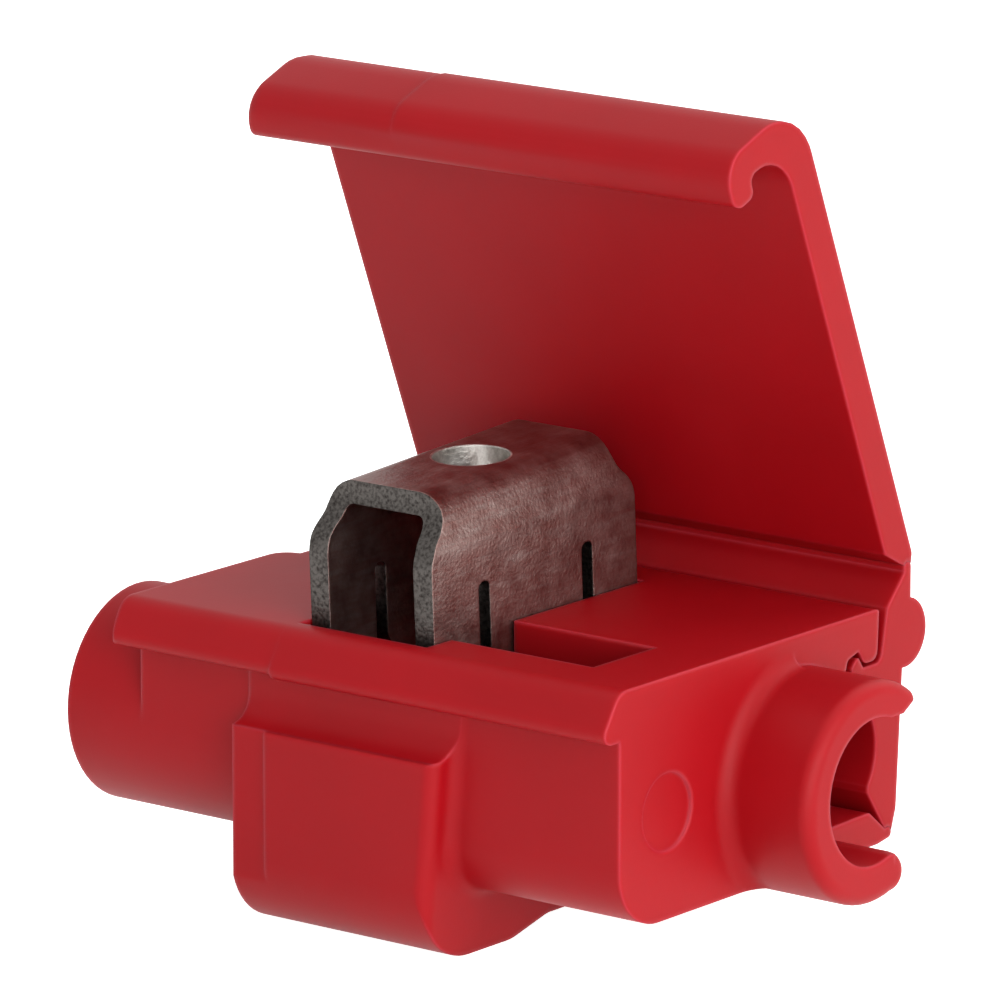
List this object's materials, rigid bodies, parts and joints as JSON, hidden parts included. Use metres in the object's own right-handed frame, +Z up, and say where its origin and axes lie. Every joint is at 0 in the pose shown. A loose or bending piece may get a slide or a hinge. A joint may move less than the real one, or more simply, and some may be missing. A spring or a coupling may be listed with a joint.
{
  "type": "t-tap connector",
  "caption": "Run-and-tap wire splice connector: moulded housing with film-hinged side gate and snap cover, and a raised U-shaped contact with slotted legs.",
  "frame": {"origin": "bottom centre of the whole part in its rest pose, on the plane that the boss stands on", "axes": "+X along the wires towards the end with the run barrel, +Y from the front lip towards the side gate, +Z up out of the deck"},
  "size_m": [0.0274, 0.0184, 0.0283],
  "materials": {
    "polypropylene": "moulded, satin",
    "tinned_brass": "dull tin plate"
  },
  "bodies": {
    "housing": {"housing": "polypropylene"},
    "side_gate": {"side_gate": "polypropylene"},
    "cover": {"cover": "polypropylene"},
    "contact": {"contact": "tinned_brass"}
  },
  "joints": [
    {"name": "gate_hinge", "type": "hinge", "parent": "housing", "child": "side_gate", "pos_m": [0, 0.00707, 0.00258], "axis": [-1, 0, 0], "range_deg": [0, 90]},
    {"name": "cover_hinge", "type": "hinge", "parent": "side_gate", "child": "cover", "pos_m": [0, 0.00808, 0.01174], "axis": [-1, 0, 0], "range_deg": [-68, 22]},
    {"name": "contact_press", "type": "slide", "parent": "housing", "child": "contact", "axis": [0, 0, 1], "range_m": [-0.0055, 0]}
  ],
  "couplings": [
    {"joint": "cover_hinge", "follows": "contact_press", "rad_per_m": 215.7}
  ]
}
